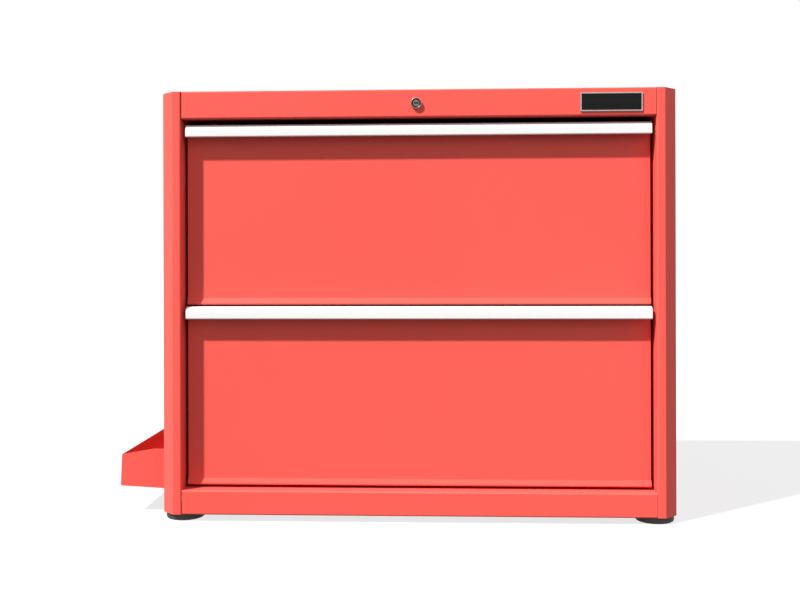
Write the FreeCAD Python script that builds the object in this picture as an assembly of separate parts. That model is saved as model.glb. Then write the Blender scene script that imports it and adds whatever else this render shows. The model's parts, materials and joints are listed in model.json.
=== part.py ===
import FreeCAD, Part
import math
import os

from FreeCAD import Vector

# Two-drawer steel tool cabinet with a lock in its top rail and a small tray on its left side.
# Millimetres. The pieces are drawn with x = 0 on the cabinet's centreline, y = 0 on the front
# face of the corner posts (y grows into the cabinet) and z = 0 on the floor. They are written
# with the origin under the middle of the whole object's box, tray and lock included.

# Cabinet
width = 914.0
depth = 460.0
height = 765.2
sheet = 1.2
bend = 1.6
seam = 0.2
chamfer = 22.5
post_face = 15.0
post_return = 38.0
rear_flange = 20.0
panel_flange = 22.0
top_rail_height = 49.0
bottom_rail_height = 43.1
rail_return = 24.0
top_seam_left = 1.6
top_seam_right = 0.4
bottom_seam_left = 0.8
bottom_seam_right = 0.2
post_drop_left = 1.5
post_drop_right = 0.4

# Feet
foot_height = 12.4
foot_radius = 34.0
foot_round = 3.5
foot_inset_x = 35.3
foot_inset_y = 40.0
bracket_size = 84.0
bracket_thickness = 3.0
bolt_radius = 4.0
bolt_head_radius = 7.0
bolt_head_height = 5.0
bolt_recess = 8.0
bolt_nut_flats = 13.0
bolt_nut_height = 6.5
bolt_end = 3.0
hole_clearance = 0.3

# Drawers
front_recess = 27.0
side_gap = 5.5
gap_above = 9.3
gap_between = 2.7
gap_below = 5.0
lower_drawer_height = 321.3
rear_space = 31.6
lip_height = 12.0
lip_forward = 4.0
front_side_return = 8.0
front_top_flange = 10.0
front_bottom_flange = 14.0
box_sheet = 1.0
box_bend = 0.6
box_floor_rise = 14.0
box_top_drop = 30.0
box_hem = 8.0
back_flange = 12.0

# Handles
handle_wall = 2.0
handle_height = 22.3
handle_front = 6.5
handle_round = 8.0
handle_inset = 1.0
handle_back_height = 20.0
handle_lip = 4.0
handle_bend = 0.3
handle_screws = 4
screw_radius = 2.0
screw_head_radius = 4.0
screw_head_height = 2.4

# Slides
slide_thickness = 12.7
slide_height = 45.0
slide_wall = 1.2
slide_rise = 110.0
race_gap = 3.5
ball_radius = 2.0
ball_play = 0.1
ball_count = 4
outer_race = 5.8
inner_race = 9.0
cage_thickness = 0.6
cage_margin = 10.0
bumper_length = 8.0
slide_gap = 1.5
rivet_radius = 1.6
rivet_head_radius = 4.2
rivet_head_height = 1.4

# Uprights that carry the slides
upright_width = 40.0
upright_wall = 1.5
upright_lip = 12.0
upright_gap = 10.0

# Lock
lock_rise = 24.0
lock_head_radius = 9.4
lock_proud = 4.8
lock_head_round = 1.0
lock_body_radius = 8.0
lock_length = 26.0
plug_radius = 6.0
plug_play = 0.06
plug_recess = 0.5
keyway_width = 2.2
keyway_length = 8.4
keyway_depth = 12.0
lock_nut_flats = 22.0
lock_nut_height = 4.0
cam_thickness = 3.0
cam_square = 7.0
cam_hub_radius = 8.0
cam_eye_radius = 5.5
cam_pin_radius = 2.5
bar_travel = 12.0
bar_thickness = 3.0
bar_play = 0.35
bar_edge = 3.3
link_height = 22.0
link_drop = 3.0
tongue_height = 20.0
tongue_rest = 1.5
tongue_gap = 1.0
guide_radius = 3.0
guide_head_radius = 6.0
guide_head_height = 2.5
catch_rise = 232.0
catch_wall = 2.0
catch_height = 30.0
catch_leg = 26.0
catch_gap = 2.0
catch_play = 2.0

# Badge plate on the top rail
badge_width = 108.0
badge_height = 33.0
badge_inset = 24.4
badge_rise = 7.2
badge_rim = 2.2
badge_proud = 2.4
badge_field_depth = 0.8
badge_play = 0.1

# Side tray
tray_front = 60.0
tray_rear = 50.0
tray_floor_inner = 44.9
tray_floor_outer = 50.1
tray_reach = 90.9
tray_top_reach = 88.7
tray_wall_top = 108.0
tray_end_top = 118.0
tray_end_level = 29.0
tray_back_height = 76.0
tray_screws = 3
tray_screw_radius = 3.0
tray_screw_head_radius = 5.5
tray_screw_head_height = 3.0
tray_nut_flats = 10.0
tray_nut_height = 5.0
tray_screw_inset = 45.0
tray_screw_drop = 22.0

# Places that follow from the sizes above
half_width = width / 2
side_inner = half_width - sheet
opening_half = half_width - chamfer - post_face
open_bottom = foot_height + bottom_rail_height
open_top = height - top_rail_height
lower_bottom = open_bottom + gap_below
lower_top = lower_bottom + lower_drawer_height
upper_bottom = lower_top + gap_between
upper_top = open_top - gap_above
front_half = opening_half - side_gap
handle_half = front_half - handle_inset
box_half = opening_half - slide_thickness
box_front = front_recess + sheet + seam
box_back = depth - rear_space
box_length = box_back - box_front
upright_front_y = post_return + upright_gap
upright_rear_y = box_back - upright_width
bar_y = post_return + tongue_gap
link_y = bar_y - bar_thickness
slide_front = bar_y + bar_thickness + slide_gap
slide_length = box_back - slide_front
lock_z = open_top + lock_rise
badge_left = opening_half - badge_inset - badge_width
pin_throw = bar_travel / (2 * math.sin(math.pi / 4))
pin_side = pin_throw * math.sin(math.pi / 4)
bar_width = bar_travel + 2 * (guide_radius + bar_play + bar_edge)
bar_inner = opening_half + tongue_rest + bar_edge
bar_outer = bar_inner + bar_width
tray_length = depth - tray_front - tray_rear
frame_shift = Vector(tray_reach / 2, (lock_proud - depth) / 2, 0)

left = -1
right = 1


def in_plan(u, v):
    return Vector(u, v, 0)


def in_front(u, v):
    return Vector(u, 0, v)


def in_side(u, v):
    return Vector(0, u, v)


def block(x0, x1, y0, y1, z0, z1):
    low = Vector(min(x0, x1), min(y0, y1), min(z0, z1))
    return Part.makeBox(abs(x1 - x0), abs(y1 - y0), abs(z1 - z0), low)


def plate(points, plane, travel):
    corners = [plane(u, v) for u, v in points]
    face = Part.Face(Part.makePolygon(corners + corners[:1]))
    return face.extrude(travel)


def joined(shapes):
    whole = shapes[0].fuse(shapes[1:]) if len(shapes) > 1 else shapes[0]
    return whole.removeSplitter()


def mirrored(shape):
    return shape.mirror(Vector(0, 0, 0), Vector(1, 0, 0))


def on_side(shape, side):
    return mirrored(shape) if side == left else shape


def hex_prism(flats, length, centre, axis):
    radius = flats / math.sqrt(3)
    corners = []
    for i in range(6):
        angle = math.radians(60 * i)
        corners.append(Vector(radius * math.cos(angle), radius * math.sin(angle), 0))
    face = Part.Face(Part.makePolygon(corners + corners[:1]))
    prism = face.extrude(Vector(0, 0, length))
    prism.Placement = FreeCAD.Placement(centre, FreeCAD.Rotation(Vector(0, 0, 1), axis))
    return prism


def unit(start, end):
    step = Vector(end[0] - start[0], end[1] - start[1], 0)
    return step.normalize()


def bent_corner(before, corner, after, thickness, side, radius):
    """Start, middle and end of a bend on the drawn line and on the sheet's other face."""
    way_in = unit(before, corner)
    way_out = unit(corner, after)
    cross = way_in.x * way_out.y - way_in.y * way_out.x
    towards = 1 if cross > 0 else -1
    turn = math.acos(max(-1.0, min(1.0, way_in.dot(way_out))))
    inside = towards == side
    drawn = radius + thickness if inside else radius
    other = radius if inside else radius + thickness
    reach = drawn * math.tan(turn / 2)
    tip = Vector(corner[0], corner[1], 0)
    start = tip - way_in * reach
    end = tip + way_out * reach
    centre = start + Vector(-way_in.y, way_in.x, 0) * (towards * drawn)
    middle = centre + (tip - centre).normalize() * drawn
    line = [start, middle, end]
    opposite = [centre + (point - centre) * (other / drawn) for point in line]
    return line, opposite


def bent_sheet(points, thickness, side, plane, travel, radii=None):
    """A strip of sheet folded along a line of points, with round bends, drawn out by travel.

    The points follow one face of the sheet. The sheet lies to the left of them (side 1) or to
    the right (side -1), as seen in the plane of the section.
    """
    radii = radii or [bend] * (len(points) - 2)
    bends = []
    for i in range(1, len(points) - 1):
        corner = bent_corner(points[i - 1], points[i], points[i + 1], thickness, side, radii[i - 1])
        bends.append(corner)
    first = unit(points[0], points[1])
    last = unit(points[-2], points[-1])
    start = Vector(points[0][0], points[0][1], 0)
    end = Vector(points[-1][0], points[-1][1], 0)
    start_across = start + Vector(-first.y, first.x, 0) * (side * thickness)
    end_across = end + Vector(-last.y, last.x, 0) * (side * thickness)
    edges = []
    for face, begin, finish in ((0, start, end), (1, start_across, end_across)):
        at = begin
        for corner in bends:
            into, middle, out = [plane(p.x, p.y) for p in corner[face]]
            edges.append(Part.LineSegment(plane(at.x, at.y), into).toShape())
            edges.append(Part.Arc(into, middle, out).toShape())
            at = corner[face][2]
        edges.append(Part.LineSegment(plane(at.x, at.y), plane(finish.x, finish.y)).toShape())
    for one, two in ((start, start_across), (end, end_across)):
        edges.append(Part.LineSegment(plane(one.x, one.y), plane(two.x, two.y)).toShape())
    outline = Part.Wire(Part.__sortEdges__(edges))
    return Part.Face(outline).extrude(travel)


def side_panel(side):
    """Side sheet with the chamfered corner post, its return and the rear flange folded on."""
    drop = post_drop_left if side == left else post_drop_right
    points = [
        (opening_half, post_return),
        (opening_half, 0),
        (half_width - chamfer, 0),
        (half_width, chamfer),
        (half_width, depth),
        (half_width - rear_flange, depth),
    ]
    tall = height - drop - foot_height
    panel = bent_sheet(points, sheet, 1, in_plan, Vector(0, 0, tall))
    panel.translate(Vector(0, 0, foot_height))
    return_edge = opening_half + sheet + bend
    for low, high in ((open_top, height), (foot_height, open_bottom + seam)):
        notch = block(opening_half - 1, return_edge, sheet, post_return + 1, low - seam, high)
        panel = panel.cut(notch)
    if side == left:
        for y, z in tray_screw_places():
            hole = Part.makeCylinder(tray_screw_radius + hole_clearance, 3 * sheet,
                                     Vector(half_width - 2 * sheet, y, z), Vector(1, 0, 0))
            panel = panel.cut(hole)
    return on_side(panel, side)


def cover_outline(front_left, front_right, back):
    """Plan of a sheet that fills the cabinet between the side panels and behind the posts."""
    inset = sheet + seam
    slant = inset * math.tan(math.pi / 8)
    outer = half_width - inset
    shoulder = half_width - chamfer - slant
    return [
        (front_left, inset), (-shoulder, inset), (-outer, chamfer + slant), (-outer, back),
        (outer, back), (outer, chamfer + slant), (shoulder, inset), (front_right, inset),
    ]


def side_flange(side, z0, z1):
    """Flange of the top or floor sheet that lies on the inside of a side panel."""
    outer = side_inner - seam
    inner = outer - sheet
    return block(side * inner, side * outer, post_return, depth - rear_flange - seam, z0, z1)


def top_panel():
    """Top sheet with the front rail, its return and the rear flange folded on."""
    x0 = -opening_half + top_seam_left
    x1 = opening_half - top_seam_right
    rail = [
        (rail_return, open_top),
        (0, open_top),
        (0, height),
        (depth / 2, height),
    ]
    front = bent_sheet(rail, sheet, -1, in_side, Vector(x1 - x0, 0, 0))
    front.translate(Vector(x0, 0, 0))
    rear_half = half_width - rear_flange - seam
    tail = [(depth / 2, height), (depth, height), (depth, height - panel_flange)]
    rear = bent_sheet(tail, sheet, -1, in_side, Vector(2 * rear_half, 0, 0))
    rear.translate(Vector(-rear_half, 0, 0))
    cover = plate(cover_outline(x0, x1, depth - 2 * (sheet + seam)), in_plan, Vector(0, 0, sheet))
    cover.translate(Vector(0, 0, height - sheet))
    clear = block(x0, x1, -1, sheet + bend, height - 2 * sheet, height + 1)
    cover = cover.cut(clear)
    pieces = [front, rear, cover]
    for side in (left, right):
        pieces.append(side_flange(side, height - panel_flange, height - sheet))
    panel = joined(pieces)
    hole = Part.makeCylinder(lock_body_radius + hole_clearance, 3 * sheet,
                             Vector(0, -sheet, lock_z), Vector(0, 1, 0))
    return panel.cut(hole)


def floor_pan():
    """Floor sheet of the bay, with the bottom rail and the flanges below it folded on."""
    x0 = -opening_half + bottom_seam_left
    x1 = opening_half - bottom_seam_right
    rail = [
        (rail_return, foot_height),
        (0, foot_height),
        (0, open_bottom),
        (depth / 2, open_bottom),
    ]
    front = bent_sheet(rail, sheet, -1, in_side, Vector(x1 - x0, 0, 0))
    front.translate(Vector(x0, 0, 0))
    rear_half = half_width - rear_flange - seam
    tail = [
        (depth / 2, open_bottom),
        (depth, open_bottom),
        (depth, foot_height),
        (depth - rail_return, foot_height),
    ]
    rear = bent_sheet(tail, sheet, -1, in_side, Vector(2 * rear_half, 0, 0))
    rear.translate(Vector(-rear_half, 0, 0))
    cover = plate(cover_outline(x0, x1, depth - 2 * (sheet + seam)), in_plan, Vector(0, 0, sheet))
    cover.translate(Vector(0, 0, open_bottom - sheet))
    clear = block(x0, x1, -1, sheet + bend, open_bottom - 2 * sheet, open_bottom + 1)
    cover = cover.cut(clear)
    pieces = [front, rear, cover]
    for side in (left, right):
        pieces.append(side_flange(side, foot_height, open_bottom - sheet))
    return joined(pieces)


def back_panel():
    """Back sheet, welded inside the rear flanges of the sides."""
    half = side_inner - bend - seam
    y1 = depth - sheet - seam
    return block(-half, half, y1 - sheet, y1, open_bottom + seam, height - sheet - bend - seam)


def upright(side, y0):
    """Channel that brings the slides level with the posts' inner faces."""
    outer = side_inner
    y1 = y0 + upright_width
    points = [
        (outer, y0 + upright_lip), (outer, y0), (opening_half, y0),
        (opening_half, y1), (outer, y1), (outer, y1 - upright_lip),
    ]
    z0 = open_bottom
    z1 = height - panel_flange - seam
    channel = bent_sheet(points, upright_wall, -1, in_plan, Vector(0, 0, z1 - z0))
    channel.translate(Vector(0, 0, z0))
    for bottom in (lower_bottom, upper_bottom):
        centre = Vector(opening_half - 1, y0 + upright_width / 2, bottom + slide_rise)
        hole = Part.makeCylinder(rivet_radius + seam / 2, upright_wall + 2, centre, Vector(1, 0, 0))
        channel = channel.cut(hole)
    if side == left and y0 == upright_front_y:
        for z in guide_heights():
            centre = Vector(guide_x(), y0 - 1, z)
            hole = Part.makeCylinder(guide_radius + seam / 2, upright_wall + 2, centre, Vector(0, 1, 0))
            channel = channel.cut(hole)
    return on_side(channel, side)


def foot_centres():
    x = half_width - foot_inset_x
    near = foot_inset_y
    far = depth - foot_inset_y
    return [(-x, near), (x, near), (-x, far), (x, far)]


def foot_pad(x, y):
    """Round rubber pad with a recess below for the bolt's head and a raised seat on top."""
    pad = Part.makeCylinder(foot_radius, foot_height)
    rim = [e for e in pad.Edges if len(e.Vertexes) == 1 and e.BoundBox.ZMax < foot_height / 2]
    pad = pad.makeFillet(foot_round, rim)
    seat = Part.makeCylinder(bolt_nut_flats, foot_height + sheet)
    recess = Part.makeCylinder(bolt_head_radius + hole_clearance, bolt_recess)
    bore = Part.makeCylinder(bolt_radius + hole_clearance, foot_height + 2 * sheet)
    pad = pad.fuse(seat).cut(recess).cut(bore)
    pad.translate(Vector(x, y, 0))
    return pad


def foot_bracket(x, y):
    """Corner plate in the base, standing on the rail's return, with a leg up the side."""
    side = right if x > 0 else left
    front = y < depth / 2
    z0 = foot_height + sheet
    outer = side_inner - sheet - 2 * seam
    y0 = sheet + bend + seam
    if not front:
        y0 = depth - y0 - sheet - seam - bracket_size
    y1 = y0 + bracket_size
    leg_y0 = max(y0, post_return)
    leg_y1 = min(y1, depth - rear_flange - seam)
    inner = outer - bracket_size
    flat = block(inner, outer, y0, y1, z0, z0 + bracket_thickness)
    if front:
        corner = [
            (outer + 1, y0 - 1), (outer + 1, chamfer + 2 * sheet),
            (outer - chamfer, y0 - 1),
        ]
        nip = plate(corner, in_plan, Vector(0, 0, bracket_thickness))
        nip.translate(Vector(0, 0, z0))
        flat = flat.cut(nip)
    leg = block(outer - bracket_thickness, outer, leg_y0, leg_y1, z0, open_bottom - sheet - seam)
    bracket = joined([flat, leg])
    bore = Part.makeCylinder(bolt_radius + hole_clearance, bracket_thickness + 2,
                             Vector(abs(x), y, z0 - 1))
    return on_side(bracket.cut(bore), side)


def foot_bolt(x, y):
    head = Part.makeCylinder(bolt_head_radius, bolt_head_height,
                             Vector(x, y, bolt_recess - bolt_head_height))
    top = foot_height + sheet + bracket_thickness + bolt_nut_height + bolt_end
    shank = Part.makeCylinder(bolt_radius, top - bolt_recess, Vector(x, y, bolt_recess))
    return joined([head, shank])


def foot_nut(x, y):
    seat = Vector(x, y, foot_height + sheet + bracket_thickness)
    nut = hex_prism(bolt_nut_flats, bolt_nut_height, seat, Vector(0, 0, 1))
    bore = Part.makeCylinder(bolt_radius + seam / 2, bolt_nut_height + 2, seat - Vector(0, 0, 1))
    return nut.cut(bore)


def drawer_front(bottom, top):
    """Front sheet: a plain face whose bottom edge swings forward, with flanges behind."""
    face_top = top - seam
    points = [
        (front_recess + front_top_flange, face_top),
        (front_recess, face_top),
        (front_recess, bottom + lip_height),
        (front_recess - lip_forward, bottom),
        (front_recess - lip_forward + front_bottom_flange, bottom),
    ]
    face = bent_sheet(points, sheet, 1, in_side, Vector(2 * front_half, 0, 0))
    face.translate(Vector(-front_half, 0, 0))
    pieces = [face]
    y0 = front_recess + sheet / 2
    y1 = front_recess + sheet + front_side_return
    for side in (left, right):
        fold = block(side * (front_half - sheet), side * front_half, y0, y1,
                     bottom + lip_height + bend, face_top - sheet - bend)
        pieces.append(fold)
    front = joined(pieces)
    edges = []
    for edge in front.Edges:
        box = edge.BoundBox
        upright_edge = box.ZLength > lip_height and box.XLength < seam and box.YLength < seam
        if upright_edge and abs(box.YMin - front_recess) < seam and abs(box.XMax) > front_half - seam:
            edges.append(edge)
    front = front.makeFillet(sheet - seam, edges)
    y = front_recess - 1
    for x in handle_screw_places():
        hole = Part.makeCylinder(screw_radius + hole_clearance, sheet + 2,
                                 Vector(x, y, top - handle_back_height / 2), Vector(0, 1, 0))
        front = front.cut(hole)
    return front


def drawer_box(bottom, top):
    """Floor and sides of a drawer, folded from one sheet, with hems along the top edges."""
    low = bottom + box_floor_rise
    high = top - box_top_drop
    points = [
        (-box_half + box_hem, high), (-box_half, high), (-box_half, low),
        (box_half, low), (box_half, high), (box_half - box_hem, high),
    ]
    radii = [box_bend] * 4
    box = bent_sheet(points, box_sheet, 1, in_front, Vector(0, box_length, 0), radii)
    box.translate(Vector(0, box_front, 0))
    for x, y, z in drawer_rivet_places(bottom):
        hole = Part.makeCylinder(rivet_radius + seam / 2, 3 * box_sheet,
                                 Vector(abs(x) - 2 * box_sheet, y, z), Vector(1, 0, 0))
        box = box.cut(on_side(hole, left if x < 0 else right))
    return box


def drawer_back(bottom, top):
    """Back of a drawer, set in between the sides on its own flanges."""
    low = bottom + box_floor_rise + box_sheet + seam
    high = top - box_top_drop - box_sheet - seam
    half = box_half - box_sheet - seam
    y0 = box_back - back_flange
    points = [(-half, y0), (-half, box_back), (half, box_back), (half, y0)]
    back = bent_sheet(points, box_sheet, -1, in_plan, Vector(0, 0, high - low))
    back.translate(Vector(0, 0, low))
    inner = half - box_sheet - bend
    foot = [(y0, low), (box_back, low), (box_back, low + back_flange)]
    floor = bent_sheet(foot, box_sheet, 1, in_side, Vector(2 * inner, 0, 0))
    floor.translate(Vector(-inner, 0, 0))
    return joined([back, floor])


def handle(top):
    """Full-width pull: a plate on the drawer's face, a rounded top and a lip to hook fingers on."""
    points = [
        (front_recess, top - handle_back_height),
        (front_recess, top),
        (handle_front, top),
        (handle_front, top - handle_height),
        (handle_front + handle_lip, top - handle_height),
    ]
    radii = [handle_bend, handle_round, handle_bend]
    pull = bent_sheet(points, handle_wall, 1, in_side, Vector(2 * handle_half, 0, 0), radii)
    pull.translate(Vector(-handle_half, 0, 0))
    for x in handle_screw_places():
        hole = Part.makeCylinder(screw_radius + seam / 2, handle_wall + 2,
                                 Vector(x, front_recess - handle_wall - 1, top - handle_back_height / 2),
                                 Vector(0, 1, 0))
        pull = pull.cut(hole)
    return pull


def handle_screw_places():
    span = 2 * handle_half * (1 - 1 / handle_screws)
    return [-span / 2 + span * i / (handle_screws - 1) for i in range(handle_screws)]


def screw(x, z, radius, head_radius, head_height, seat, end):
    """Pan-head screw along y: its head stands behind the seat and its shank runs to the end."""
    head = Part.makeCylinder(head_radius, head_height, Vector(x, seat, z), Vector(0, 1, 0))
    rim = [e for e in head.Edges if abs(e.BoundBox.YMin - seat - head_height) < seam
           and len(e.Vertexes) == 1]
    head = head.makeFillet(head_height / 3, rim)
    shank = Part.makeCylinder(radius, seat - end, Vector(x, end, z), Vector(0, 1, 0))
    return joined([head, shank])


def handle_screw_set(top):
    z = top - handle_back_height / 2
    seat = front_recess + sheet
    end = front_recess - handle_wall
    return [screw(x, z, screw_radius, screw_head_radius, screw_head_height, seat, end)
            for x in handle_screw_places()]


def slide_levels():
    """Half heights of the three members, from the outside in, with a race between each pair."""
    outer = slide_height / 2
    middle = outer - slide_wall - race_gap
    inner = middle - slide_wall - race_gap
    return outer, middle, inner


def race_height(member):
    """Height of the balls' centres outside the middle (1) or the inner member (2)."""
    return slide_levels()[member] + race_gap / 2


def channel(x_web, x_open, half, y0, length):
    """Slide member: a web with a flange above and below, open towards x_open."""
    points = [(x_open, half), (x_web, half), (x_web, -half), (x_open, -half)]
    turn = 1 if x_web < x_open else -1
    member = bent_sheet(points, slide_wall, turn, in_front, Vector(0, length, 0), [seam, seam])
    member.translate(Vector(0, y0, 0))
    return member


def races(x, half, y0, length):
    """Round grooves for the balls, above and below."""
    grooves = []
    for z in (half, -half):
        grooves.append(Part.makeCylinder(ball_radius + ball_play, length,
                                         Vector(x, y0, z), Vector(0, 1, 0)))
    return Part.makeCompound(grooves)


def placed_slide(shape, side, bottom):
    moved = shape.copy()
    moved.translate(Vector(0, 0, bottom + slide_rise))
    return on_side(moved, side)


def slide_outer(side, bottom):
    """Fixed member, riveted to the uprights; its tail carries the bumper."""
    length = slide_length + bumper_length + seam
    outer = slide_levels()[0]
    x = opening_half - outer_race
    lip = opening_half - slide_thickness + 2 * slide_wall
    member = channel(opening_half, lip, outer, slide_front, length)
    member = member.cut(races(x, race_height(1), slide_front - 1, length + 2))
    for y in (upright_front_y, upright_rear_y):
        centre = Vector(opening_half - 2 * slide_wall, y + upright_width / 2, 0)
        hole = Part.makeCylinder(rivet_radius + seam / 2, 3 * slide_wall, centre, Vector(1, 0, 0))
        member = member.cut(hole)
    return placed_slide(member, side, bottom)


def slide_middle(side, bottom):
    """Member that runs out half as far as the drawer."""
    web = opening_half - 2 * slide_wall
    lip = opening_half - slide_thickness + slide_wall + cage_thickness
    member = channel(web, lip, slide_levels()[1], slide_front, slide_length)
    outer = races(opening_half - outer_race, race_height(1), slide_front - 1, slide_length + 2)
    inner = races(opening_half - inner_race, race_height(2), slide_front - 1, slide_length + 2)
    return placed_slide(member.cut(outer).cut(inner), side, bottom)


def slide_inner(side, bottom):
    """Member riveted to the drawer's side."""
    web = box_half
    lip = opening_half - outer_race + slide_wall
    member = channel(web, lip, slide_levels()[2], slide_front, slide_length)
    grooves = races(opening_half - inner_race, race_height(2), slide_front - 1, slide_length + 2)
    member = member.cut(grooves)
    for y in slide_rivet_rows():
        hole = Part.makeCylinder(rivet_radius + seam / 2, 3 * slide_wall,
                                 Vector(box_half - slide_wall, y, 0), Vector(1, 0, 0))
        member = member.cut(hole)
    return placed_slide(member, side, bottom)


def ball_cage(side, bottom, race, member, x0, x1):
    """Two strips with holes, above and below, and the balls that run in them."""
    start = slide_front + slide_length / 4 + cage_margin
    length = slide_length / 2 - 2 * cage_margin
    pieces = []
    for z in (race_height(member), -race_height(member)):
        strip = block(x0, x1, start, start + length, z - cage_thickness / 2, z + cage_thickness / 2)
        for i in range(ball_count):
            centre = Vector(opening_half - race, start + length * (i + 0.5) / ball_count, z)
            hole = Part.makeCylinder(ball_radius + ball_play, 2 * cage_thickness,
                                     centre - Vector(0, 0, cage_thickness))
            strip = strip.cut(hole)
            pieces.append(Part.makeSphere(ball_radius, centre))
        pieces.append(strip)
    return [placed_slide(piece, side, bottom) for piece in pieces]


def outer_cages(bottom):
    """Ball cages between the fixed and the middle members, left and right."""
    x0 = opening_half - outer_race - ball_radius - slide_wall
    x1 = opening_half - outer_race + ball_radius + slide_wall
    return ball_cage(left, bottom, outer_race, 1, x0, x1) + ball_cage(right, bottom, outer_race, 1, x0, x1)


def inner_cages(bottom):
    """Ball cages between the middle and the inner members, left and right."""
    x0 = opening_half - inner_race - ball_radius
    x1 = opening_half - inner_race + ball_radius + slide_wall
    return ball_cage(left, bottom, inner_race, 2, x0, x1) + ball_cage(right, bottom, inner_race, 2, x0, x1)


def slide_bumpers():
    """Rubber stops at the tails of the fixed members."""
    pieces = []
    y0 = box_back + seam
    half = slide_levels()[2] - slide_wall
    for bottom in (lower_bottom, upper_bottom):
        for side in (left, right):
            stop = block(box_half + slide_wall, opening_half - slide_wall,
                         y0, y0 + bumper_length, -half, half)
            pieces.append(placed_slide(stop, side, bottom))
    return pieces


def rivet(x, y, z, head_at, end_at, side):
    """Rivet along x, with its head at the larger or smaller x and a flush far end."""
    way = 1 if head_at > end_at else -1
    head = Part.makeCylinder(rivet_head_radius, rivet_head_height, Vector(head_at, y, z), Vector(way, 0, 0))
    shank = Part.makeCylinder(rivet_radius, abs(head_at - end_at), Vector(end_at, y, z), Vector(way, 0, 0))
    return on_side(joined([head, shank]), side)


def upright_rivets():
    """Rivets of the fixed slide members, headed inside the uprights."""
    pieces = []
    for bottom in (lower_bottom, upper_bottom):
        for side in (left, right):
            for y in (upright_front_y, upright_rear_y):
                centre = y + upright_width / 2
                pieces.append(rivet(0, centre, bottom + slide_rise, opening_half + upright_wall,
                                    opening_half - slide_wall, side))
    return pieces


def slide_rivet_rows():
    margin = upright_width / 2
    return [slide_front + margin, slide_front + slide_length / 2, box_back - margin]


def catch_z(bottom):
    return bottom + catch_rise


def catch_rivet_y():
    return bar_y + bar_thickness + catch_gap + catch_wall + catch_leg / 2


def drawer_rivet_places(bottom):
    """Rivets through a drawer's sides: three for each slide and two for the catch."""
    places = []
    for y in slide_rivet_rows():
        places.append((-box_half, y, bottom + slide_rise))
        places.append((box_half, y, bottom + slide_rise))
    for rise in (-catch_height / 4, catch_height / 4):
        places.append((-box_half, catch_rivet_y(), catch_z(bottom) + rise))
    return places


def drawer_rivets(bottom):
    pieces = []
    slide_end = box_half + slide_wall
    catch_end = box_half + catch_wall
    for x, y, z in drawer_rivet_places(bottom):
        end = slide_end if abs(z - bottom - slide_rise) < seam else catch_end
        side = left if x < 0 else right
        pieces.append(rivet(0, y, z, box_half - box_sheet, end, side))
    return pieces


def drawer_catch(bottom):
    """Angle on the drawer's left side that the lock bar's tongue stops."""
    z0 = catch_z(bottom) - catch_height / 2
    y0 = bar_y + bar_thickness + catch_gap
    stop = block(box_half, opening_half - catch_play, y0, y0 + catch_wall, z0, z0 + catch_height)
    leg = block(box_half, box_half + catch_wall, y0, y0 + catch_wall + catch_leg, z0, z0 + catch_height)
    catch = joined([stop, leg])
    for rise in (-catch_height / 4, catch_height / 4):
        centre = Vector(box_half - 1, catch_rivet_y(), catch_z(bottom) + rise)
        hole = Part.makeCylinder(rivet_radius + seam / 2, catch_wall + 2, centre, Vector(1, 0, 0))
        catch = catch.cut(hole)
    return mirrored(catch)


def lock_housing():
    """Lock cylinder's shell: a round head on the rail and a threaded barrel behind it."""
    head = Part.makeCylinder(lock_head_radius, lock_proud, Vector(0, -lock_proud, lock_z), Vector(0, 1, 0))
    rim = [e for e in head.Edges if len(e.Vertexes) == 1 and abs(e.BoundBox.YMax + lock_proud) < seam]
    head = head.makeFillet(lock_head_round, rim)
    barrel = Part.makeCylinder(lock_body_radius, lock_length, Vector(0, 0, lock_z), Vector(0, 1, 0))
    bore = Part.makeCylinder(plug_radius + plug_play, lock_proud + lock_length + 2,
                             Vector(0, -lock_proud - 1, lock_z), Vector(0, 1, 0))
    return joined([head, barrel]).cut(bore)


def lock_nut():
    seat = Vector(0, sheet, lock_z)
    nut = hex_prism(lock_nut_flats, lock_nut_height, seat, Vector(0, 1, 0))
    bore = Part.makeCylinder(lock_body_radius + seam / 2, lock_nut_height + 2,
                             seat - Vector(0, 1, 0), Vector(0, 1, 0))
    return nut.cut(bore)


def lock_plug():
    """Turning plug with a keyway, level when unlocked, and a square end for the cam."""
    start = plug_recess - lock_proud
    length = lock_length - start + seam
    barrel = Part.makeCylinder(plug_radius, length, Vector(0, start, lock_z), Vector(0, 1, 0))
    keyway = block(-keyway_length / 2, keyway_length / 2, start - 1, start + keyway_depth,
                   lock_z - keyway_width / 2, lock_z + keyway_width / 2)
    end = start + length
    square = block(-cam_square / 2, cam_square / 2, end, end + cam_thickness,
                   lock_z - cam_square / 2, lock_z + cam_square / 2)
    tap = Part.makeCylinder(screw_radius, cam_thickness + 2 * lock_nut_height,
                            Vector(0, end - 2 * lock_nut_height, lock_z), Vector(0, 1, 0))
    return joined([barrel, square]).cut(keyway).cut(tap)


def cam_face():
    """Where the cam's front face lies, just behind the lock's barrel."""
    return lock_length + seam


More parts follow.
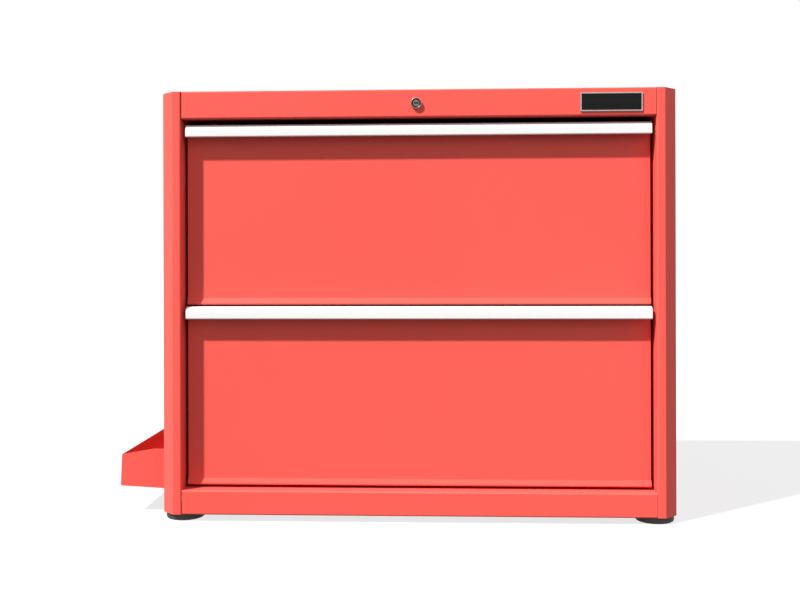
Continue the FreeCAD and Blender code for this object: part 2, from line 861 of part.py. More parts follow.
def lock_cam():
    """Cam with the pin that drives the link; it points up and to the left when unlocked."""
    y0 = cam_face()
    eye = Vector(-pin_side, 0, pin_side)
    across = Vector(1, 0, 1).normalize()
    hub = Part.makeCylinder(cam_hub_radius, cam_thickness, Vector(0, y0, lock_z), Vector(0, 1, 0))
    tip = Part.makeCylinder(cam_eye_radius, cam_thickness, Vector(0, y0, lock_z) + eye, Vector(0, 1, 0))
    corners = [
        across * cam_eye_radius, across * -cam_eye_radius,
        eye - across * cam_eye_radius, eye + across * cam_eye_radius,
    ]
    arm = plate([(c.x, c.z + lock_z) for c in corners], in_front, Vector(0, cam_thickness, 0))
    arm.translate(Vector(0, y0, 0))
    hole = block(-cam_square / 2 - seam / 2, cam_square / 2 + seam / 2, y0 - 1, y0 + cam_thickness + 1,
                 lock_z - cam_square / 2 - seam / 2, lock_z + cam_square / 2 + seam / 2)
    pin_end = link_y + bar_thickness + 1
    pin = Part.makeCylinder(cam_pin_radius, pin_end - y0, Vector(0, y0, lock_z) + eye, Vector(0, 1, 0))
    return joined([hub, tip, arm, pin]).cut(hole)


def cam_screw():
    seat = cam_face() + cam_thickness
    head_radius = cam_square / 2 + 1
    return screw(0, lock_z, screw_radius - seam / 2, head_radius, screw_head_height, seat,
                 seat - cam_thickness - lock_nut_height)


def link_left():
    return -bar_outer


def lock_link():
    """Flat bar behind the top rail that carries the cam's throw to the locking bar."""
    z0 = lock_z - link_drop
    x1 = -pin_side + cam_pin_radius + bar_play + bar_edge
    bar = block(link_left(), x1, link_y, link_y + bar_thickness, z0, z0 + link_height)
    half = cam_pin_radius + bar_play
    slot = block(-pin_side - half, -pin_side + half, link_y - 1, link_y + bar_thickness + 1,
                 lock_z + pin_side - half, lock_z + pin_throw + half)
    bar = bar.cut(slot)
    for x, z in link_rivet_places():
        hole = Part.makeCylinder(rivet_radius + seam / 2, bar_thickness + 2,
                                 Vector(x, link_y - 1, z), Vector(0, 1, 0))
        bar = bar.cut(hole)
    return bar


def link_rivet_places():
    z = lock_z - link_drop + link_height / 2
    x = -(bar_inner + bar_outer) / 2
    step = rivet_head_radius + 1
    return [(x - step, z), (x + step, z)]


def guide_x():
    """Guide screws' distance from the centreline; the bar's slots start there."""
    return bar_inner + bar_edge + guide_radius + bar_play


def guide_heights():
    """Heights of the guide screws, clear of the tongues and of each drawer's slide."""
    low = catch_z(lower_bottom) - tongue_height
    high = catch_z(upper_bottom) - tongue_height
    return [low, high]


def lock_bar():
    """Upright bar in the left post's pocket; a tongue for each drawer reaches out when locked."""
    z0 = guide_heights()[0] - guide_radius - bar_play - 2 * bar_edge
    z1 = lock_z - link_drop + link_height
    bar = block(bar_inner, bar_outer, bar_y, bar_y + bar_thickness, z0, z1)
    for bottom in (lower_bottom, upper_bottom):
        z = catch_z(bottom)
        tongue = block(opening_half + tongue_rest, bar_inner + 1, bar_y, bar_y + bar_thickness,
                       z - tongue_height / 2, z + tongue_height / 2)
        bar = bar.fuse(tongue)
    slide_z = upper_bottom + slide_rise
    clear = slide_height / 2 + catch_gap
    notch = block(opening_half, opening_half + bar_travel + tongue_gap,
                  bar_y - 1, bar_y + bar_thickness + 1, slide_z - clear, slide_z + clear)
    bar = bar.cut(notch)
    half = guide_radius + bar_play
    for z in guide_heights():
        near = guide_x() - half
        far = guide_x() + bar_travel + half
        slot = block(near, far, bar_y - 1, bar_y + bar_thickness + 1, z - half, z + half)
        bar = bar.cut(slot)
    for x, z in link_rivet_places():
        hole = Part.makeCylinder(rivet_radius + seam / 2, bar_thickness + 2,
                                 Vector(-x, bar_y - 1, z), Vector(0, 1, 0))
        bar = bar.cut(hole)
    return mirrored(bar.removeSplitter())


def link_rivets():
    """Rivets that join the link to the locking bar."""
    pieces = []
    for x, z in link_rivet_places():
        end = bar_y + bar_thickness
        head = Part.makeCylinder(rivet_head_radius, rivet_head_height,
                                 Vector(x, link_y, z), Vector(0, -1, 0))
        tail = Part.makeCylinder(rivet_head_radius, rivet_head_height,
                                 Vector(x, end, z), Vector(0, 1, 0))
        shank = Part.makeCylinder(rivet_radius, end - link_y, Vector(x, link_y, z), Vector(0, 1, 0))
        pieces.append(joined([head, shank, tail]))
    return pieces


def guide_screws():
    """Shoulder screws in the front left upright that the locking bar slides on."""
    pieces = []
    for z in guide_heights():
        x = -guide_x()
        front = bar_y - bar_play
        back = upright_front_y + upright_wall
        head = Part.makeCylinder(guide_head_radius, guide_head_height,
                                 Vector(x, front - guide_head_height, z), Vector(0, 1, 0))
        shank = Part.makeCylinder(guide_radius, back - front, Vector(x, front, z), Vector(0, 1, 0))
        shoulder = Part.makeCylinder(guide_head_radius, upright_front_y - bar_y - bar_thickness - bar_play,
                                     Vector(x, bar_y + bar_thickness + bar_play, z), Vector(0, 1, 0))
        pieces.append(joined([head, shank, shoulder]))
    return pieces


def badge_frame():
    """Raised rim of the badge plate."""
    x0 = badge_left
    z0 = open_top + badge_rise
    rim = block(x0, x0 + badge_width, -badge_proud, 0, z0, z0 + badge_height)
    window = block(x0 + badge_rim, x0 + badge_width - badge_rim, -badge_proud - 1, 1,
                   z0 + badge_rim, z0 + badge_height - badge_rim)
    return rim.cut(window)


def badge_field():
    """Plain plate inside the rim."""
    x0 = badge_left + badge_rim + badge_play
    z0 = open_top + badge_rise + badge_rim + badge_play
    wide = badge_width - 2 * (badge_rim + badge_play)
    tall = badge_height - 2 * (badge_rim + badge_play)
    return block(x0, x0 + wide, badge_field_depth - badge_proud, 0, z0, z0 + tall)


def tray_screw_places():
    span = tray_length - 2 * tray_screw_inset
    z = tray_floor_inner + tray_back_height - tray_screw_drop
    places = []
    for i in range(tray_screws):
        places.append((tray_front + tray_screw_inset + span * i / (tray_screws - 1), z))
    return places


def side_tray():
    """Open sheet tray: back plate on the cabinet's side, sloping floor, outer wall and two ends."""
    points = [
        (half_width, tray_floor_inner + tray_back_height),
        (half_width, tray_floor_inner),
        (half_width + tray_reach, tray_floor_outer),
        (half_width + tray_top_reach, tray_wall_top),
    ]
    body = bent_sheet(points, sheet, 1, in_front, Vector(0, tray_length, 0))
    body.translate(Vector(0, tray_front, 0))
    end = [
        (half_width + sheet / 2, tray_floor_inner + sheet),
        (half_width + tray_reach - sheet, tray_floor_outer + sheet / 2),
        (half_width + tray_top_reach - sheet / 2, tray_wall_top),
        (half_width + tray_end_level, tray_end_top),
        (half_width + sheet / 2, tray_end_top),
    ]
    pieces = [body]
    for y in (tray_front, tray_front + tray_length - sheet):
        wall = plate(end, in_front, Vector(0, sheet, 0))
        wall.translate(Vector(0, y, 0))
        pieces.append(wall)
    tray = joined(pieces)
    for y, z in tray_screw_places():
        hole = Part.makeCylinder(tray_screw_radius + hole_clearance, 3 * sheet,
                                 Vector(half_width - sheet, y, z), Vector(1, 0, 0))
        tray = tray.cut(hole)
    return mirrored(tray)


def tray_screw_set():
    """Button-head screws from inside the tray through the cabinet's side."""
    pieces = []
    for y, z in tray_screw_places():
        seat = Vector(half_width + sheet, y, z)
        head = Part.makeCylinder(tray_screw_head_radius, tray_screw_head_height, seat, Vector(1, 0, 0))
        tip = half_width + sheet + tray_screw_head_height
        rim = [e for e in head.Edges if len(e.Vertexes) == 1 and abs(e.BoundBox.XMin - tip) < seam]
        head = head.makeFillet(tray_screw_head_height / 2, rim)
        end = side_inner - tray_nut_height - sheet
        shank = Part.makeCylinder(tray_screw_radius, seat.x - end, Vector(end, y, z), Vector(1, 0, 0))
        pieces.append(mirrored(joined([head, shank])))
    return pieces


def tray_nuts():
    pieces = []
    for y, z in tray_screw_places():
        seat = Vector(side_inner, y, z)
        nut = hex_prism(tray_nut_flats, tray_nut_height, seat, Vector(-1, 0, 0))
        bore = Part.makeCylinder(tray_screw_radius + seam / 2, tray_nut_height + 2,
                                 Vector(side_inner - tray_nut_height - 1, y, z), Vector(1, 0, 0))
        pieces.append(mirrored(nut.cut(bore)))
    return pieces


def save(node, shapes):
    """Write one node, a solid or a group of solids, with the origin under the whole object."""
    if not isinstance(shapes, list):
        shapes = [shapes]
    solids = [solid.copy() for shape in shapes for solid in shape.Solids]
    for solid in solids:
        solid.translate(frame_shift)
    whole = solids[0] if len(solids) == 1 else Part.makeCompound(solids)
    whole.exportStep(os.path.join("parts", node + ".step"))


def save_drawer(name, bottom, top):
    save(name + "_drawer_front", drawer_front(bottom, top))
    save(name + "_drawer_box", drawer_box(bottom, top))
    save(name + "_drawer_back", drawer_back(bottom, top))
    save(name + "_handle", handle(top))
    save(name + "_handle_screws", handle_screw_set(top))
    save(name + "_drawer_rivets", drawer_rivets(bottom))
    save(name + "_lock_catch", drawer_catch(bottom))
    for word, side in (("left", left), ("right", right)):
        save(name + "_slide_outer_" + word, slide_outer(side, bottom))
        save(name + "_slide_middle_" + word, slide_middle(side, bottom))
        save(name + "_slide_inner_" + word, slide_inner(side, bottom))
    save(name + "_outer_ball_cages", outer_cages(bottom))
    save(name + "_inner_ball_cages", inner_cages(bottom))


def save_shell():
    for word, side in (("left", left), ("right", right)):
        save("side_panel_" + word, side_panel(side))
        save("upright_front_" + word, upright(side, upright_front_y))
        save("upright_rear_" + word, upright(side, upright_rear_y))
    save("top_panel", top_panel())
    save("floor_pan", floor_pan())
    save("back_panel", back_panel())
    save("slide_bumpers", slide_bumpers())
    save("upright_rivets", upright_rivets())
    save("badge_frame", badge_frame())
    save("badge_field", badge_field())


def save_feet():
    centres = foot_centres()
    save("foot_pads", [foot_pad(x, y) for x, y in centres])
    save("foot_brackets", [foot_bracket(x, y) for x, y in centres])
    save("foot_bolts", [foot_bolt(x, y) for x, y in centres])
    save("foot_nuts", [foot_nut(x, y) for x, y in centres])


def save_lock():
    save("lock_housing", lock_housing())
    save("lock_nut", lock_nut())
    save("lock_plug", lock_plug())
    save("lock_cam", lock_cam())
    save("lock_cam_screw", cam_screw())
    save("lock_link", lock_link())
    save("lock_bar", lock_bar())
    save("lock_link_rivets", link_rivets())
    save("lock_guide_screws", guide_screws())


def save_tray():
    save("side_tray", side_tray())
    save("side_tray_screws", tray_screw_set())
    save("side_tray_nuts", tray_nuts())


os.makedirs("parts", exist_ok=True)
save_shell()
save_feet()
save_lock()
save_tray()
save_drawer("upper", upper_bottom, upper_top)
save_drawer("lower", lower_bottom, lower_top)
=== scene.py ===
import json
import math

import bmesh
import bpy
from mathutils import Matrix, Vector

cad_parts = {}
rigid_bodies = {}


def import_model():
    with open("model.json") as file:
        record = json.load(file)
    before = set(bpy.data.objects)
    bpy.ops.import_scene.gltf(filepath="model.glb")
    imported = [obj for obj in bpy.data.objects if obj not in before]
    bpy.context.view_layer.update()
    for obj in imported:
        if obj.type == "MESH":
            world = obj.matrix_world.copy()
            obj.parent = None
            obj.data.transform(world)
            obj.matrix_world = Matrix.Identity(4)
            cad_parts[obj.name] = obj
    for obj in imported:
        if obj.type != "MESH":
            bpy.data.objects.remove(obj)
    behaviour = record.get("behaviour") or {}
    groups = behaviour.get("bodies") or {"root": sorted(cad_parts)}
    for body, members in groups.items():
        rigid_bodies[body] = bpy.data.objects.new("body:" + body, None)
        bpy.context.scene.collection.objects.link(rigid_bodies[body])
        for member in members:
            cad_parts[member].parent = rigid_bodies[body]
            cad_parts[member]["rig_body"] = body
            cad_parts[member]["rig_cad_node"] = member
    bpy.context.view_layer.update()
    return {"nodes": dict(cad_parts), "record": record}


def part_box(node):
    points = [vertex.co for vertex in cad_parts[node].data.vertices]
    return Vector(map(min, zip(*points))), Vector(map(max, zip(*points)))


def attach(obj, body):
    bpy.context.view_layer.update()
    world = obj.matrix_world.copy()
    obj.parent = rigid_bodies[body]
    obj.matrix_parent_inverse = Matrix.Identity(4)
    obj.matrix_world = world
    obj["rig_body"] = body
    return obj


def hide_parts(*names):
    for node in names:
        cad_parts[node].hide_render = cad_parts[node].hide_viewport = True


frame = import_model()
nodes = frame["nodes"]
mm = 0.001
touch = 0.2 * mm    # how near an edge's middle lies to the fold that is looked for
remade = set()      # nodes that a new piece stands for
print("frame loaded:", len(nodes), "nodes")


def leaveEdit():
    if bpy.context.object and bpy.context.object.mode != "OBJECT":
        bpy.ops.object.mode_set(mode="OBJECT")
    bpy.ops.object.select_all(action="DESELECT")


def workOn(piece):
    leaveEdit()
    bpy.context.view_layer.objects.active = piece
    piece.select_set(True)


def settle(piece):
    workOn(piece)
    bpy.ops.object.transform_apply(location=True, rotation=True, scale=True)
    return piece


def plate(middle, rotation, size):
    # the plane operator leaves out its scale, so the object takes it
    leaveEdit()
    bpy.ops.mesh.primitive_plane_add(size=1, location=middle, rotation=rotation)
    bpy.context.object.scale = (size[0], size[1], 1)
    return settle(bpy.context.object)


def pick(piece, kind, test):
    # kind is "verts", "edges" or "faces"; test gets the middle of each
    workOn(piece)
    bpy.ops.object.mode_set(mode="EDIT")
    bpy.ops.mesh.select_mode(type={"verts": "VERT", "edges": "EDGE", "faces": "FACE"}[kind])
    bpy.ops.mesh.select_all(action="DESELECT")
    mesh = bmesh.from_edit_mesh(piece.data)
    found = 0
    for part in getattr(mesh, kind):
        if kind == "verts":
            middle = part.co
        elif kind == "edges":
            middle = (part.verts[0].co + part.verts[1].co) / 2
        else:
            middle = part.calc_center_median()
        if test(middle, part):
            part.select_set(True)
            found += 1
    mesh.select_flush_mode()
    bmesh.update_edit_mesh(piece.data)
    return found


def near(a, b, reach=0.00005):
    return abs(a - b) < reach


def extrude(shift):
    bpy.ops.mesh.extrude_region_move(TRANSFORM_OT_translate={"value": shift})


def roundOff(width, segments=6):
    bpy.ops.mesh.bevel(offset=width, offset_type="OFFSET", segments=segments, affect="EDGES")


def applyModifier(piece, kind, **settings):
    workOn(piece)
    modifier = piece.modifiers.new(kind.lower(), kind)
    for key, value in settings.items():
        setattr(modifier, key, value)
    bpy.ops.object.modifier_apply(modifier=modifier.name)


def thicken(piece, wall):
    # the drawn face is the outer one, so the wall grows inwards
    applyModifier(piece, "SOLIDIFY", thickness=wall, offset=-1, use_even_offset=True)


def breakEdges(piece, width, angle=40, segments=2):
    applyModifier(piece, "BEVEL", width=width, segments=segments, limit_method="ANGLE",
                  angle_limit=math.radians(angle), use_clamp_overlap=True)


def faceOut(piece, outward):
    # turns the whole sheet over if its first face looks the wrong way
    workOn(piece)
    if piece.data.polygons[0].normal.dot(Vector(outward)) < 0:
        bpy.ops.object.mode_set(mode="EDIT")
        bpy.ops.mesh.select_all(action="SELECT")
        bpy.ops.mesh.flip_normals()
    leaveEdit()


def joinInto(name, pieces):
    leaveEdit()
    for piece in pieces:
        piece.select_set(True)
    bpy.context.view_layer.objects.active = pieces[0]
    if len(pieces) > 1:
        bpy.ops.object.join()
    pieces[0].name = name
    return pieces[0]


def copyTo(piece, shift, turn=0.0):
    workOn(piece)
    bpy.ops.object.duplicate()
    copy = bpy.context.object
    copy.rotation_euler.z = turn
    copy.location = Vector(shift)
    return settle(copy)


def finishPiece(piece, name, body, material, replaced, smooth=32):
    workOn(piece)
    bpy.ops.object.shade_smooth_by_angle(angle=math.radians(smooth))
    applyModifier(piece, "WEIGHTED_NORMAL", keep_sharp=True, weight=80)
    piece.name = name
    piece.data.name = name
    piece.data.materials.clear()
    piece.data.materials.append(material)
    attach(piece, body)
    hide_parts(*replaced)
    remade.update(replaced)
    leaveEdit()
    return piece


foldStep = 11       # degrees that one facet of a rounded fold turns


def foldStrip(name, profile, along, span, folds, wall, outward):
    # a sheet folded along a line of points; along is the axis that the folds run in, folds are
    # the outer radii, and outward is where the first leg's visible face looks
    axes = {"x": (1, 2, 0), "y": (0, 2, 1), "z": (0, 1, 2)}[along]

    def place(point, at):
        spot = [0.0, 0.0, 0.0]
        spot[axes[0]], spot[axes[1]], spot[axes[2]] = point[0], point[1], at
        return Vector(spot)

    first, second = Vector(profile[0]), Vector(profile[1])
    leg = second - first
    middle = place((first + second) / 2, (span[0] + span[1]) / 2)
    angle = math.atan2(leg.y, leg.x)
    rotation = {"x": (angle, 0, 0), "y": (0, -angle, 0), "z": (math.pi / 2, 0, angle)}[along]
    size = (leg.length, span[1] - span[0])
    piece = plate(middle, rotation, size[::-1] if along == "x" else size)
    end = place(second, sum(span) / 2)
    pick(piece, "edges", lambda at, edge: (at - end).length < touch)
    for before, after in zip(profile[1:-1], profile[2:]):
        extrude(place(after, 0) - place(before, 0))
    leaveEdit()
    for i, radius in enumerate(folds, 1):
        before, fold, after = [Vector(point) for point in profile[i - 1:i + 2]]
        turn = (fold - before).angle(after - fold)
        corner = place(profile[i], sum(span) / 2)
        pick(piece, "edges", lambda at, edge: (at - corner).length < touch)
        roundOff(radius * math.tan(turn / 2), max(2, round(math.degrees(turn) / foldStep)))
    leaveEdit()
    faceOut(piece, outward)
    piece.name = name
    return piece


class Wire:
    def __init__(self, tree, socket=None):
        self.tree = tree
        self.socket = socket

    def node(self, kind, settings=None, feeds=None, out=0):
        made = self.tree.nodes.new(kind)
        for key, value in (settings or {}).items():
            if key == "stops":
                ramp = made.color_ramp
                while len(ramp.elements) < len(value):
                    ramp.elements.new(0.5)
                for stop, (place, tone) in zip(ramp.elements, value):
                    stop.position = place
                    stop.color = (tone, tone, tone, 1)
            else:
                setattr(made, key, value)
        for key, value in (feeds or {}).items():
            socket = made.inputs[key]
            if isinstance(value, Wire):
                self.tree.links.new(value.socket, socket)
            else:
                socket.default_value = value
        return Wire(self.tree, made.outputs[out] if made.outputs else None)

    def math(self, operation, first, second):
        return self.node("ShaderNodeMath", {"operation": operation}, {0: first, 1: second})

    def __add__(self, other):
        return self.math("ADD", self, other)

    def __radd__(self, other):
        return self.math("ADD", other, self)

    def __sub__(self, other):
        return self.math("SUBTRACT", self, other)

    def __rsub__(self, other):
        return self.math("SUBTRACT", other, self)

    def __mul__(self, other):
        return self.math("MULTIPLY", self, other)

    def __rmul__(self, other):
        return self.math("MULTIPLY", other, self)

    def mix(self, low, high):
        return self.node("ShaderNodeMix", {"data_type": "RGBA"}, {0: self, 6: low, 7: high}, 2)

    def ramp(self, *stops):
        return self.node("ShaderNodeValToRGB", {"stops": stops}, {"Fac": self})

    def scaled(self, size):
        return self.node("ShaderNodeMapping", None, {"Vector": self, "Scale": size})

    def noise(self, scale, detail=2.0, roughness=0.5):
        return self.node("ShaderNodeTexNoise", None, {
            "Vector": self, "Scale": scale, "Detail": detail, "Roughness": roughness})

    def cells(self, scale):
        return self.node("ShaderNodeTexVoronoi", None, {"Vector": self, "Scale": scale})

    def bump(self, depth, under=None):
        feeds = {"Height": self, "Distance": depth, "Strength": 1.0}
        if under:
            feeds["Normal"] = under
        return self.node("ShaderNodeBump", None, feeds)


def newMaterial(name):
    material = bpy.data.materials.new(name)
    material.use_nodes = True
    material.node_tree.nodes.clear()
    start = Wire(material.node_tree)
    return material, start, start.node("ShaderNodeTexCoord", out=3)


def surface(start, feeds):
    shader = start.node("ShaderNodeBsdfPrincipled", None, feeds)
    start.node("ShaderNodeOutputMaterial", None, {"Surface": shader})


paint = {"colour": (0.79, 0.093, 0.072, 1), "deep": (0.76, 0.086, 0.066, 1), "roughness": 0.5,
         "gloss": 0.25}
# painted shade: a deeper red laid on the inner faces of the side tray
hollowShade = {"colour": (0.5, 0.06, 0.045, 1), "lean": 0.02, "skin": 0.5 * mm, "core": 0.9 * mm}


def trayHollowShade(start, place, settings):
    # painted shade mask: 1 on the faces that look into the side tray, 0 on its outer faces
    low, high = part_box("side_tray")
    x, y, z = [start.node("ShaderNodeSeparateXYZ", None, {0: place}, axis) for axis in range(3)]
    upright = x - z * settings["lean"]
    share = 1.0
    for at, wall, way in ((upright, low.x, 1), (y, low.y, 1), (y, high.y, -1)):
        share = share * at.node("ShaderNodeMapRange", None, {
            "Value": at, "From Min": wall + way * settings["skin"],
            "From Max": wall + way * settings["core"]})
    return share


def powderCoat(name, settings, hollowShade=None):
    # smooth satin powder coat: a fine orange peel over slow changes of film thickness
    material, start, place = newMaterial(name)
    cloud = place.noise(2.3, 3.0)
    peel = place.noise(650.0, 2.0, 0.45)
    speck = place.noise(2400.0, 1.0)
    tone = cloud.ramp((0.3, 0.0), (0.7, 1.0))
    colour = tone.mix(settings["deep"], settings["colour"])
    # the tray's inner faces take the deeper red, which is painted shade
    if hollowShade:
        colour = trayHollowShade(start, place, hollowShade).mix(colour, hollowShade["colour"])
    roughness = settings["roughness"] + (cloud - 0.5) * 0.06 + (speck - 0.5) * 0.05
    bump = speck.bump(0.000004, peel.bump(0.00003))
    surface(start, {"Base Color": colour, "Roughness": roughness, "Normal": bump,
                    "Specular IOR Level": settings["gloss"]})
    return material


handleMetal = {"colour": (0.735, 0.735, 0.725, 1), "line": (0.68, 0.68, 0.67, 1), "roughness": 0.42,
               "metal": 0.1}


def brushedHandle(settings):
    # drawn aluminium: brush lines run the whole length of the pull
    material, start, place = newMaterial("handleAluminium")
    strands = place.scaled((1.2, 900.0, 900.0)).noise(1.0, 4.0, 0.65)
    patch = place.noise(9.0, 2.0)
    colour = strands.ramp((0.25, 0.0), (0.75, 1.0)).mix(settings["line"], settings["colour"])
    roughness = settings["roughness"] + (strands - 0.5) * 0.22 + (patch - 0.5) * 0.05
    surface(start, {"Base Color": colour, "Roughness": roughness,
                    "Metallic": settings["metal"], "Normal": strands.bump(0.00001)})
    return material


zinc = {"light": (0.74, 0.76, 0.78, 1), "dark": (0.56, 0.58, 0.61, 1), "roughness": 0.34, "metal": 1.0}
# painted shade: near-black red for the fixed slide members, standing for the shade in the gap beside
# the drawers
gapShade = {"light": (0.05, 0.03, 0.03, 1), "dark": (0.03, 0.018, 0.018, 1), "roughness": 0.5,
              "metal": 0.3}


def zincPlate(name, settings, grain=260.0):
    material, start, place = newMaterial(name)
    spangle = place.cells(grain)
    cloud = place.noise(35.0, 3.0)
    tone = (spangle * 0.6 + cloud * 0.6).ramp((0.2, 0.0), (0.8, 1.0))
    roughness = settings["roughness"] + (cloud - 0.5) * 0.2
    colour = tone.mix(settings["dark"], settings["light"])
    surface(start, {"Base Color": colour, "Metallic": settings["metal"], "Roughness": roughness,
                    "Normal": spangle.bump(0.000015)})
    return material


def satinMetal(name, light, dark, roughness):
    material, start, place = newMaterial(name)
    haze = place.noise(420.0, 3.0, 0.6)
    surface(start, {"Base Color": haze.ramp((0.3, 0.0), (0.7, 1.0)).mix(dark, light), "Metallic": 1.0,
                    "Roughness": roughness + (haze - 0.5) * 0.12, "Normal": haze.bump(0.000006)})
    return material


# the near black of the dish is painted shade; the chrome's dimmed pinkish tone is partly the metal's
# own colour and partly a painted reflection of the red paint
lockFinish = {"ring": 8.5 * mm, "blend": 0.3 * mm, "chrome": (0.36, 0.31, 0.3, 1),
              "black": (0.012, 0.006, 0.005, 1)}


def ringedChrome():
    # chrome rim round a dish coloured near black as painted shade, parted by the distance from the
    # lock's axis
    material, start, place = newMaterial("lockChrome")
    low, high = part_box("lock_housing")
    middle = ((low.x + high.x) / 2, 0, (low.z + high.z) / 2)
    reach = start.node("ShaderNodeVectorMath", {"operation": "DISTANCE"},
                       {0: place.scaled((1, 0, 1)), 1: middle}, 1)
    rim = start.node("ShaderNodeMapRange", None, {
        "Value": reach, "From Min": lockFinish["ring"],
        "From Max": lockFinish["ring"] + lockFinish["blend"]})
    haze = place.noise(500.0, 2.0)
    # painted shade in the dish, chrome with a painted pink reflection on the rim
    colour = rim.mix(lockFinish["black"], lockFinish["chrome"])
    surface(start, {"Base Color": colour, "Metallic": rim, "Roughness": 0.36 - rim * 0.1 + haze * 0.06,
                    "Specular IOR Level": 0.25, "Normal": haze.bump(0.000004)})
    return material


def mouldedRubber():
    material, start, place = newMaterial("footRubber")
    grain = place.noise(900.0, 3.0, 0.6)
    dust = place.noise(60.0, 4.0, 0.7).ramp((0.45, 0.0), (0.8, 1.0))
    colour = dust.mix((0.021, 0.017, 0.017, 1), (0.06, 0.048, 0.046, 1))
    surface(start, {"Base Color": colour, "Roughness": 0.62 + (grain - 0.5) * 0.25,
                    "Normal": grain.bump(0.00008)})
    return material


def badgeGloss():
    material, start, place = newMaterial("badgeBlack")
    weave = place.scaled((1.0, 1.0, 1400.0)).noise(1.0, 2.0)
    colour = weave.ramp((0.3, 0.0), (0.7, 1.0)).mix((0.005, 0.0045, 0.0045, 1), (0.01, 0.009, 0.009, 1))
    surface(start, {"Base Color": colour, "Roughness": 0.3 + (weave - 0.5) * 0.1,
                    "Specular IOR Level": 0.1, "Normal": weave.bump(0.000004)})
    return material


cabinetPaint = powderCoat("cabinetPaint", paint)
drawerPaint = powderCoat("drawerPaint", paint)
# the side tray's coat carries painted shade on its inner faces
trayPaint = powderCoat("trayPaint", paint, hollowShade)
handleAluminium = brushedHandle(handleMetal)
slideZinc = zincPlate("slideZinc", zinc)
# painted shade: the fixed slide members are coloured near-black red so that the gap beside the drawers
# reads dark
slideBlack = zincPlate("slideBlack", gapShade)    # the fixed members, deep in the cabinet
fastenerZinc = zincPlate("fastenerZinc", zinc, 700.0)
footRubber = mouldedRubber()
lockSilver = satinMetal("lockSilver", (0.2, 0.17, 0.165, 1), (0.13, 0.11, 0.105, 1), 0.42)
lockChrome = ringedChrome()
badgeChrome = satinMetal("badgeChrome", (0.42, 0.39, 0.38, 1), (0.34, 0.32, 0.31, 1), 0.38)
badgeBlack = badgeGloss()
finishes = {
    "red_paint": cabinetPaint, "drawer_paint": drawerPaint, "handle_metal": handleAluminium,
    "slide_steel": slideZinc, "fastener_steel": fastenerZinc, "foot_rubber": footRubber,
    "lock_metal": lockSilver, "badge_rim": badgeChrome, "badge_black": badgeBlack,
}
for part in frame["record"]["subparts"]:
    mesh = nodes[part["node"]].data
    mesh.materials.clear()
    mesh.materials.append(finishes[part["material_slot"]])
print("materials made:", len(finishes))


shell = {"wall": 1.2 * mm, "fold": 2.8 * mm, "chamfer": 22.5 * mm, "postReturn": 38 * mm,
         "rearFlange": 20 * mm, "edge": 0.3 * mm}
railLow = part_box("top_panel")[0].z      # underside of the top rail
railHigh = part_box("floor_pan")[1].z     # top of the bottom rail


def sidePanel(word, side):
    low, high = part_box("side_panel_" + word)
    inner, outer = (low.x, high.x) if side > 0 else (high.x, low.x)
    plan = [
        (inner, low.y + shell["postReturn"]), (inner, low.y),
        (outer - side * shell["chamfer"], low.y), (outer, low.y + shell["chamfer"]),
        (outer, high.y), (outer - side * shell["rearFlange"], high.y),
    ]
    piece = foldStrip("sidePanel", plan, "z", (low.z, high.z), [shell["fold"]] * 4,
                      shell["wall"], (-side, 0, 0))
    for level in (railLow, railHigh):   # the post's return stops at the rails
        workOn(piece)
        bpy.ops.object.mode_set(mode="EDIT")
        bpy.ops.mesh.select_all(action="SELECT")
        bpy.ops.mesh.bisect(plane_co=(0, 0, level), plane_no=(0, 0, 1))
    pick(piece, "faces", lambda at, face: abs(at.x - inner) < 0.0003 and at.y > low.y + shell["fold"]
         and not railHigh < at.z < railLow)
    bpy.ops.mesh.delete(type="FACE")
    leaveEdit()
    thicken(piece, shell["wall"])
    breakEdges(piece, shell["edge"])
    return finishPiece(piece, "sidePanel" + word.title(), "cabinet", cabinetPaint,
                       ["side_panel_" + word])


sidePanel("left", -1)
sidePanel("right", 1)
print("side panels folded")


def cleanCopy(node, slot, edge):
    # a frame mesh is loose triangles: a copy is merged, its flats are made whole, its edges broken
    workOn(nodes[node])
    bpy.ops.object.duplicate()
    piece = bpy.context.object
    body = piece["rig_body"]
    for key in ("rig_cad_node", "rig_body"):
        if key in piece:
            del piece[key]
    piece.parent = None
    workOn(piece)
    bpy.ops.object.mode_set(mode="EDIT")
    bpy.ops.mesh.select_all(action="SELECT")
    bpy.ops.mesh.remove_doubles(threshold=0.00001)
    bpy.ops.mesh.dissolve_limited(angle_limit=math.radians(1))
    leaveEdit()
    if edge:
        breakEdges(piece, edge, 60)
    words = node.split("_")
    name = words[0] + "".join(word.title() for word in words[1:])
    # the fixed slide members take the painted-shade finish, the others their own
    finish = slideBlack if "slide_outer" in node else finishes[slot]
    return finishPiece(piece, name, body, finish, [node])


front = {"wall": 1.2 * mm, "fold": 2.8 * mm, "sideFold": 1.1 * mm, "lipHeight": 12 * mm,
         "lipForward": 4 * mm, "topFlange": 10 * mm, "bottomFlange": 14 * mm, "sideReturn": 9.2 * mm,
         "cornerCut": 3.2 * mm, "edge": 0.3 * mm}


